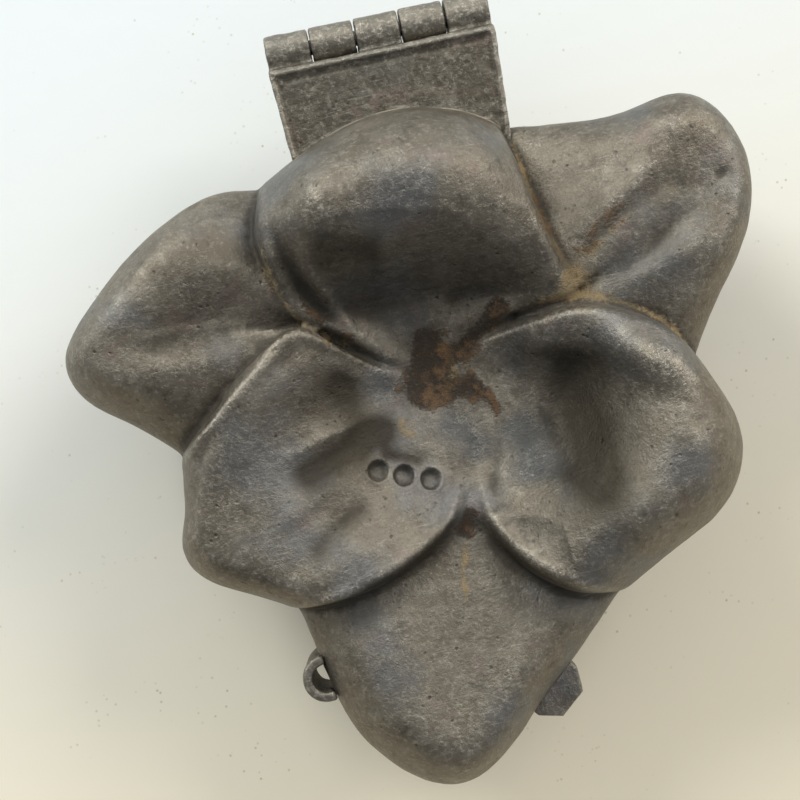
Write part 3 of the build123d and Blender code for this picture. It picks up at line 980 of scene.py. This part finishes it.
def face_residue() -> tuple[Patch, ...]:
    """What age has left on the flower's face, and the shade painted into its hollows and grooves, each patch
    with its line, width and strength.
    """
    drawn = {
        Tone.RUST: (
            (((-1.4, 8.6), (-2.4, 5.4), (-3.6, 2.3), (-4.8, -0.9), (-5.4, -4.0)), 2.4, 1.3),
            (((-7.6, -3.4), (-4.5, -2.6), (-1.1, -2.4), (1.8, -2.4), (4.6, -5.0)), 1.5, 1.2),
            (((0.2, 1.2), (2.2, 3.2), (5.0, 5.5), (8.0, 7.7), (11.4, 8.8)), 1.5, 1.1),
            (((-0.6, 1.4),), 2.6, 0.7),
            (((1.4, 0.3), (3.7, -2.0), (5.8, -7.8)), 0.6, 0.8),
            (((15.6, 25.0), (17.0, 17.0), (18.6, 12.4), (20.2, 8.6)), 1.0, 0.6),
            (((18.4, 10.4), (24.3, 14.7), (28.9, 17.6), (34.3, 20.4)), 1.7, 0.40),
            (((-0.9, -18.2), (-2.0, -20.6), (-3.2, -23.4)), 1.3, 1.2),
            (((-19.4, 18.0), (-17.6, 13.0), (-14.4, 9.3), (-10.6, 6.2)), 0.8, 0.6),
        ),
        Tone.OCHRE: (
            (((-0.5, 5.8), (0.2, 2.6), (0.3, -0.2), (-1.0, -2.4)), 1.0, 0.9),
            (((15.7, 33.0), (16.0, 22.5), (17.0, 16.2), (19.4, 9.6)), 0.7, 0.8),
            (((19.6, 9.8),), 2.5, 0.95),
            (((19.4, 11.0), (25.4, 14.6), (32.0, 18.6)), 0.8, 0.5),
            (((10.0, 7.4), (18.8, 7.2), (25.0, 4.9), (30.5, 0.8), (35.0, -6.0)), 0.6, 0.8),
            (((-22.8, 26.0), (-21.6, 17.5), (-19.4, 11.9), (-15.6, 8.3), (-10.6, 4.8)), 0.7, 0.7),
            (((-7.5, -7.0),), 2.2, 0.45),
            (((-2.9, -22.0), (-3.3, -24.8), (-4.3, -28.2), (-4.6, -32.4)), 0.5, 0.8),
        ),
        # Dark patches: painted shade in the petals' hollows, under their rims and along their grooves, with
        # some grime and soot round the throat.
        Tone.SHADE_AND_GRIME: (
            (((-17.0, 20.8), (-11.3, 19.8), (-4.6, 18.2)), 2.7, 0.85),
            (((-13.2, 25.7), (-8.0, 25.3)), 1.7, 0.40),
            (((-20.2, 24.5), (-19.0, 18.5), (-16.4, 13.0), (-13.0, 9.2)), 1.3, 0.8),
            (((11.0, -1.4), (14.6, -4.0), (17.4, -8.6), (17.6, -15.4), (14.0, -25.0)), 4.2, 0.85),
            (((12.2, -6.5), (14.2, -12.5), (13.2, -19.5)), 5.0, 0.50),
            (((14.5, -15.0), (12.0, -26.0)), 6.0, 0.32),
            (((-14.0, 4.5), (-18.5, 1.0), (-22.0, -2.5)), 3.4, 0.55),
            (((-17.4, 4.6), (-14.9, 0.8), (-14.2, -3.2), (-11.4, -6.2), (-7.9, -8.0)), 3.0, 0.80),
            (((-17.5, 8.8), (-13.4, 6.0), (-9.6, 2.8)), 1.1, 0.55),
            (((1.6, 4.6), (5.6, 5.4)), 1.7, 0.45),
            (((16.6, 22.4), (19.5, 18.8), (22.6, 18.4), (26.4, 21.6)), 3.0, 0.34),
            (((-7.5, -4.6), (-15.5, -6.9), (-26.0, -10.3)), 1.9, 0.85),
            (((-12.0, -8.2), (-18.0, -9.6), (-25.0, -12.0)), 3.2, 0.60),
            (((-13.6, -14.8), (-20.7, -18.6), (-25.4, -22.0)), 1.8, 0.5),
            (((-12.6, -8.6), (-9.4, -9.9), (-5.6, -11.4)), 1.0, 0.9),
            (((-38.7, -18.0), (-34.3, -20.4), (-27.8, -23.1)), 1.2, 0.5),
            (((-2.4, -18.6), (-7.6, -22.4), (-13.4, -25.4), (-20.8, -27.0)), 0.9, 0.8),
            (((-0.8, -20.2), (2.4, -25.8), (7.4, -31.0), (12.4, -33.6)), 0.9, 0.8),
            (((-42.0, 16.0), (-31.0, 19.5), (-22.0, 21.0)), 5.5, 0.42),
            (((22.0, 9.0), (29.0, 8.0), (36.0, 10.0)), 3.5, 0.30),
            (((0.0, 9.0), (-3.0, 5.0), (-5.0, 0.0)), 3.4, 0.40),
        ),
        Tone.ASH: (
            (((-9.0, 0.7),), 2.8, 0.9),
            (((-4.2, -5.6), (0.6, -9.0), (1.2, -14.0)), 2.8, 0.95),
            (((6.2, -6.5), (8.4, -12.0), (8.0, -18.0)), 3.4, 0.95),
            (((-6.0, 9.0), (-1.0, 8.0)), 3.4, 0.6),
        ),
    }
    return tuple(Patch(tone, *row) for tone, rows in drawn.items() for row in rows)


def front_shell(finish: PewterFinish) -> ShellHalf:
    """The front half: the open flower's face.

    Args:
        finish: The pewter of the shells.

    Returns:
        The half with the marks that the flower's face has.
    """
    dents = (
        Dent((42.3, 19.4), 0.9, -0.45),
        Dent((-1.6, -15.0), 1.9, -0.20, 1.5, 80, 4),
        Dent((-9.4, -11.4), 3.3, -0.55, 1.8, -20, 3),
        Dent((30.6, -13.2), 1.4, -0.30),
    )
    folds = (
        Stroke(((-0.4, -4.0), (-0.2, -12.0), (-1.0, -18.0), (-1.6, -22.5)), 1.0, 2.0),
        Stroke(((-1.6, -21.0), (-2.0, -26.0), (-2.4, -33.0)), 1.0, 3.0),
        Stroke(((18.4, 7.2), (26.6, 12.0), (31.6, 15.7), (38.0, 20.5)), 0.7, 3.2),
        Stroke(((3.0, 1.2), (7.2, 2.9), (13.9, 4.4), (21.6, 3.6), (28.0, 0.0), (32.0, -6.0)), 0.45, 1.8),
    )
    punches = ((-12.9, -11.1), (-9.5, -12.5), (-5.9, -13.8))
    strokes = lower_left_petal() + top_petal() + upper_outer_petals() + right_petal()
    # Dark spots in the punch marks: painted shade in the pits, with some grime.
    punch_shade_and_grime = tuple(Patch(Tone.SHADE_AND_GRIME, (punch,), 1.1, 0.35) for punch in punches)
    residue_and_shade = face_residue() + punch_shade_and_grime
    return ShellHalf("front_shell", "front_half", 1, finish, strokes + dents, residue_and_shade, folds, punches)


def back_shell(finish: PewterFinish) -> ShellHalf:
    """The back half: plain petal backs round a flat foot.

    Args:
        finish: The pewter of the shells.

    Returns:
        The half with a midrib and two veins on each petal's back.
    """
    tips = ((47.0, 19.5), (0.0, 36.5), (-51.0, 12.0), (-40.5, -16.5), (-11.5, -54.5), (36.0, -19.0))
    ribs, veins = [], []
    for x, y in tips:
        ribs.append(Stroke(tuple((x * part, y * part) for part in (0.45, 0.7, 0.95)), 0.5, 0.9))
        for spread in (-0.16, 0.16):
            far = (x * 0.84 - y * spread, y * 0.84 + x * spread)
            middle = (x * 0.64 - y * spread * 0.7, y * 0.64 + x * spread * 0.7)
            veins.append(Stroke(((x * 0.48, y * 0.48), middle, far), -0.3, 0.8))
    return ShellHalf("back_shell", "back_half", -1, finish, tuple(ribs + veins))


@dataclass
class SolderedPiece:
    """A small cast or bent piece that is soldered to a half, worked from its CAD node."""

    node: str
    body: str
    side: int
    slot: str
    finish: PewterFinish
    grid: float = 0.12
    softening: int = 5
    fullness: float = 0.05
    polished_and_highlit_from: float = 99.0
    waviness: float = 0.12
    marks: tuple[Stroke | Dent, ...] = ()
    relief_rounds: int = 20
    full_relief: float = 0.10
    rubbing_and_highlight: float = 1.3

    def build(self, tools: Toolbox) -> bpy.types.Object:
        """Makes, softens and dresses the piece.

        Args:
            tools: The shared node groups.

        Returns:
            The finished piece, which replaces its CAD node.
        """
        piece = copy_of(self.node, f"{self.node}_worn", self.grid)
        set_places(piece.data, relaxed(piece.data, places(piece.data), self.softening))
        for size, part in ((3.5, 1.0), (1.6, 0.7)):
            press_waves(piece, size, self.waviness * part, 2)
        spots = places(piece.data)
        facing = ease(0.3, 0.8, normals(piece.data)[:, 2] * self.side)
        lift = np.full(len(spots), self.fullness)
        for mark in self.marks:
            lift += mark.height(spots) * facing
        lift_along_normals(piece.data, lift)
        spots = places(piece.data)
        relief = bulge(piece.data, spots, self.relief_rounds) / self.full_relief
        # Past a line on y, the knuckles get more relief, which the finish paints paler: a painted highlight
        # on them, as well as polish.
        relief += self.rubbing_and_highlight * ease(self.polished_and_highlit_from, self.polished_and_highlit_from + 1, spots[:, 1])
        hold(piece.data, relief=np.clip(relief, -RELIEF_LIMIT, RELIEF_LIMIT))
        smooth_by_angle(piece)
        piece.data.materials.append(self.finish.build(tools))
        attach(piece, self.body)
        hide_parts(self.node)
        return piece


def soldered_pieces(leaf: PewterFinish, tab: PewterFinish, ear: PewterFinish) -> list[SolderedPiece]:
    """The two leaves of the hinge, the two closing tabs and the guide ear.

    Args:
        leaf: The finish of the hinge's leaves.
        tab: The finish of the closing tabs.
        ear: The finish of the ear.

    Returns:
        The pieces, not yet built.
    """
    lips = (
        Stroke(((-15.4, 30.0), (-16.3, 47.0)), 0.22, 0.45, fade=0.02),
        Stroke(((15.4, 30.0), (16.3, 47.0)), 0.22, 0.45, fade=0.02),
        Stroke(((-16.2, 47.2), (16.2, 47.2)), 0.34, 0.42, fade=0.02),
        Stroke(((-15.0, 46.0), (15.0, 46.0)), -0.14, 0.4, fade=0.02),
        Stroke(((-14.6, 32.0), (-15.2, 45.6)), -0.10, 0.4, fade=0.02),
        Stroke(((14.6, 32.0), (15.2, 45.6)), -0.10, 0.4, fade=0.02),
    )
    dents = (
        Dent((-1.5, 42.0), 1.6, -0.10, 1.8, 10),
        Dent((2.5, 41.0), 1.2, 0.10, 1.5, -20),
        Dent((-9.0, 40.0), 1.8, -0.08),
    )
    # The leaves' knuckles, from y 47.4 mm on, are painted paler: a painted highlight, with some polish.
    flat = {"grid": 0.2, "softening": 2, "fullness": 0.06, "polished_and_highlit_from": 47.4, "waviness": 0.22}
    return [
        SolderedPiece("front_hinge_leaf", "front_half", 1, "hinge_pewter", leaf, marks=lips + dents, **flat),
        SolderedPiece("back_hinge_leaf", "back_half", -1, "hinge_pewter", leaf, marks=lips, **flat),
        SolderedPiece("front_closing_tab", "front_half", 1, "tab_pewter", tab),
        SolderedPiece("back_closing_tab", "back_half", -1, "tab_pewter", tab),
        SolderedPiece("back_guide_ear", "back_half", 1, "ear_pewter", ear, softening=4, fullness=0.2),
    ]


@dataclass
class SolderBead:
    """The thin uneven line of solder where a leaf's flat face meets a half."""

    name: str
    body: str
    side: int
    finish: PewterFinish
    turns: tuple[float, float] = (8.0, 172.0)
    centre: Point = (0.5, 17.0)
    reach: float = 60.0
    leaf_face: float = 2.75
    leaf_root: float = 24.0
    radius: float = 0.34
    steps: int = 44
    relief: float = 0.5

    def within_leaf(self, spot: Vector) -> bool:
        """Whether a place in metres lies between the side edges of the leaf."""
        return spot.y > self.leaf_root * MM and abs(spot.x) < (11.5 + 0.1 * spot.y / MM) * MM

    def path(self, half: bpy.types.Object) -> list[Vector]:
        """Where the leaf's face meets the half, found by looking inwards at the face's height.

        Args:
            half: The finished half that the leaf is soldered to.

        Returns:
            The line's points in metres, from one side edge of the leaf to the other.
        """
        height = SEAM_HEIGHT + self.side * self.leaf_face
        found = []
        for k in range(self.steps + 1):
            turn = math.radians(self.turns[0] + (self.turns[1] - self.turns[0]) * k / self.steps)
            way = Vector((math.cos(turn), math.sin(turn), 0))
            start = Vector((*self.centre, height)) * MM + way * self.reach * MM
            hit, spot, _, _ = half.ray_cast(start, -way)
            if hit and self.within_leaf(spot):
                found.append(spot)
        return found

    def build_on(self, half: bpy.types.Object, tools: Toolbox) -> bpy.types.Object:
        """Makes the bead on a finished half.

        Args:
            half: The half that the leaf is soldered to.
            tools: The shared node groups.

        Returns:
            The finished bead.
        """
        spots = self.path(half)
        line = bpy.data.curves.new(self.name, "CURVE")
        line.dimensions = "3D"
        line.bevel_depth = self.radius * MM
        line.bevel_resolution = 4
        line.use_fill_caps = True
        spline = line.splines.new("POLY")
        spline.points.add(len(spots) - 1)
        for k, (point, spot) in enumerate(zip(spline.points, spots)):
            from_end = min(k, len(spots) - 1 - k)
            swell = 1 + 0.35 * math.sin(k * 1.9) * math.sin(k * 0.7 + 1)
            point.co = (*spot, 1)
            point.radius = swell * min(1, 0.3 + from_end * 0.35)
        bead = bpy.data.objects.new(self.name, line)
        bpy.context.collection.objects.link(bead)
        make_active(bead)
        bpy.ops.object.convert(target="MESH")
        finish_modifier(bead, "SUBSURF", levels=1, render_levels=1)
        hold(bead.data, relief=self.relief)
        smooth_by_angle(bead, 60)
        bead.data.materials.append(self.finish.build(tools))
        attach(bead, self.body)
        return bead


@dataclass
class HingePin:
    """The loose wire pin with rounded, filed ends."""

    length: float = 33.0
    radius: float = 1.1
    axis_y: float = 50.6
    end_round: float = 0.35
    rim: float = 0.3
    dimple: float = 0.18
    sides: int = 48

    def build(self, tools: Toolbox) -> bpy.types.Object:
        """Makes the pin.

        Args:
            tools: The shared node groups.

        Returns:
            The finished pin, which replaces its CAD node.
        """
        bpy.ops.mesh.primitive_cylinder_add(
            vertices=self.sides,
            radius=self.radius * MM,
            depth=self.length * MM,
            location=(0, self.axis_y * MM, SEAM_HEIGHT * MM),
            rotation=(0, math.radians(90), 0),
        )
        pin = bpy.context.object
        pin.name = "hinge_pin_wire"
        make_active(pin)
        bpy.ops.object.transform_apply(location=True, rotation=True, scale=True)
        edit(pin, bpy.ops.mesh.select_mode, type="FACE")
        select_faces(pin, np.abs(of_faces(pin.data, "normal")[:, 0]) > 0.9)
        edit(pin, bpy.ops.mesh.bevel, offset=self.end_round * MM, segments=4)
        level = np.abs(of_faces(pin.data, "normal")[:, 0]) > 0.99
        round_faces = np.array([len(face.vertices) > 8 for face in pin.data.polygons])
        select_faces(pin, level & round_faces)
        edit(pin, bpy.ops.mesh.inset, thickness=self.rim * MM)
        self.press_dimples(pin)
        smooth_by_angle(pin, 40)
        pin.data.materials.append(SteelWireFinish("pin_wire").build(tools))
        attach(pin, "hinge_pin")
        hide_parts("hinge_pin")
        return pin

    def press_dimples(self, pin: bpy.types.Object) -> None:
        """Presses the middle of both ends in."""
        spots = places(pin.data)
        from_axis = np.hypot(spots[:, 1] - self.axis_y, spots[:, 2] - SEAM_HEIGHT)
        at_end = np.abs(spots[:, 0]) > self.length / 2 - 0.01
        pressed = at_end & (from_axis < self.radius - self.end_round - 0.2)
        spots[pressed, 0] -= np.sign(spots[pressed, 0]) * self.dimple
        set_places(pin.data, spots)


# The studio


@dataclass(frozen=True)
class Lamp:
    """One far, soft lamp, which lights the whole table evenly."""

    name: str
    place: Place
    spread: float
    strength: float
    tint: Place

    def hang(self) -> None:
        """Hangs the lamp at its place, turned to the mold."""
        lamp = bpy.data.lights.new(self.name, "SUN")
        lamp.angle = math.radians(self.spread)
        lamp.energy = self.strength
        lamp.color = self.tint
        holder = bpy.data.objects.new(self.name, lamp)
        bpy.context.collection.objects.link(holder)
        holder.location = self.place
        holder.rotation_euler = (-Vector(self.place)).to_track_quat("-Z", "Y").to_euler()


@dataclass
class Studio:
    """The pale table, the window light from the upper left and the camera over the mold."""

    camera_place: Place = (-0.00784, -0.00204, 0.242)
    camera_turn: float = -12.0
    sensor: float = 36.0
    lens: float = 68.28
    table_size: float = 2.4
    lamps: tuple[Lamp, ...] = (
        Lamp("window", (-0.80, 1.36, 0.92), 29.0, 2.10, (0.97, 1.0, 1.0)),
        Lamp("side", (1.20, 0.80, 0.84), 33.0, 1.86, (1.0, 0.98, 0.95)),
    )
    room_glow: float = 0.085
    room_tint: Colour = (0.92, 0.97, 1.05, 1.0)
    windows: tuple[tuple[Place, float], ...] = (
        ((-0.45, 0.85, 0.25), 0.58),
        ((0.80, 0.50, 0.33), 0.25),
        ((0.45, -0.80, 0.35), 0.26),
    )
    backdrop: Colour = srgb(232, 233, 228)

    def build(self) -> None:
        """Sets the table, the lamps, the world and the camera."""
        self.lay_table()
        for lamp in self.lamps:
            lamp.hang()
        self.set_world()
        self.set_camera()
        bpy.context.scene.view_settings.view_transform = "Standard"

    def lay_table(self) -> None:
        """Makes the table top that the mold lies on."""
        bpy.ops.mesh.primitive_grid_add(x_subdivisions=8, y_subdivisions=8, size=self.table_size)
        table = bpy.context.object
        table.name = "table"
        table.data.materials.append(TableFinish("table_paint").build())

    def set_world(self) -> None:
        """Gives a dim, even room light, and a pale backdrop where the camera looks past the table."""
        world = bpy.data.worlds.new("room")
        world.use_nodes = True
        bpy.context.scene.world = world
        board = Board(world.node_tree)
        light = world.node_tree.nodes["Background"]
        way = board.add("TexCoord").outputs["Generated"]
        glow = self.room_glow
        for towards, share in self.windows:
            facing = board.add("VectorMath", {0: way, 1: towards}, operation="DOT_PRODUCT").outputs["Value"]
            glow = board.math("MULTIPLY_ADD", board.between(facing, -0.1, 0.95), share, glow)
        board.feed(light, {"Color": self.room_tint, "Strength": glow})
        seen = board.add("Background", {"Color": self.backdrop, "Strength": 1.0})
        looked_at = board.add("LightPath").outputs["Is Camera Ray"]
        both = board.add("MixShader", {0: looked_at, 1: light.outputs[0], 2: seen.outputs[0]})
        board.feed(world.node_tree.nodes["World Output"], {"Surface": both.outputs[0]})

    def set_camera(self) -> None:
        """Puts the camera straight over the mold, as in the photograph."""
        camera = bpy.data.cameras.new("camera")
        camera.sensor_width = self.sensor
        camera.lens = self.lens
        holder = bpy.data.objects.new("camera", camera)
        bpy.context.collection.objects.link(holder)
        holder.location = self.camera_place
        holder.rotation_euler = (0, 0, math.radians(self.camera_turn))
        bpy.context.scene.camera = holder


def main() -> None:
    """Builds the studio and every piece, in order."""
    logging.basicConfig(level=logging.INFO, format="%(name)s: %(message)s")
    Studio().build()
    tools = Toolbox.build()
    cast = PewterFinish("shell_pewter_aged")
    leaf_tones = {"dark": srgb(80, 74, 63), "middle": srgb(88, 81, 69), "cool": srgb(83, 82, 76)}
    # The hinge's crests are painted paler than the shells': a painted highlight as well as polish.
    leaf = PewterFinish("hinge_pewter_aged", rubbing_and_highlight=0.30, **leaf_tones)
    tab = PewterFinish("tab_pewter_aged")
    ear = PewterFinish("ear_pewter_aged", dark=srgb(98, 92, 82))
    solder_tones = {"dark": srgb(126, 118, 98), "middle": srgb(150, 143, 122)}
    solder = PewterFinish("solder_aged", roughness=0.45, **solder_tones)
    parts = [front_shell(cast), back_shell(cast), *soldered_pieces(leaf, tab, ear), HingePin()]
    pieces = [part.build(tools) for part in parts]
    pieces.append(SolderBead("front_solder_line", "front_half", 1, solder).build_on(pieces[0], tools))
    pieces.append(SolderBead("back_solder_line", "back_half", -1, solder).build_on(pieces[1], tools))
    for piece in pieces:
        LOG.info("%s: %d faces", piece.name, len(piece.data.polygons))


if __name__ == "__main__":
    main()
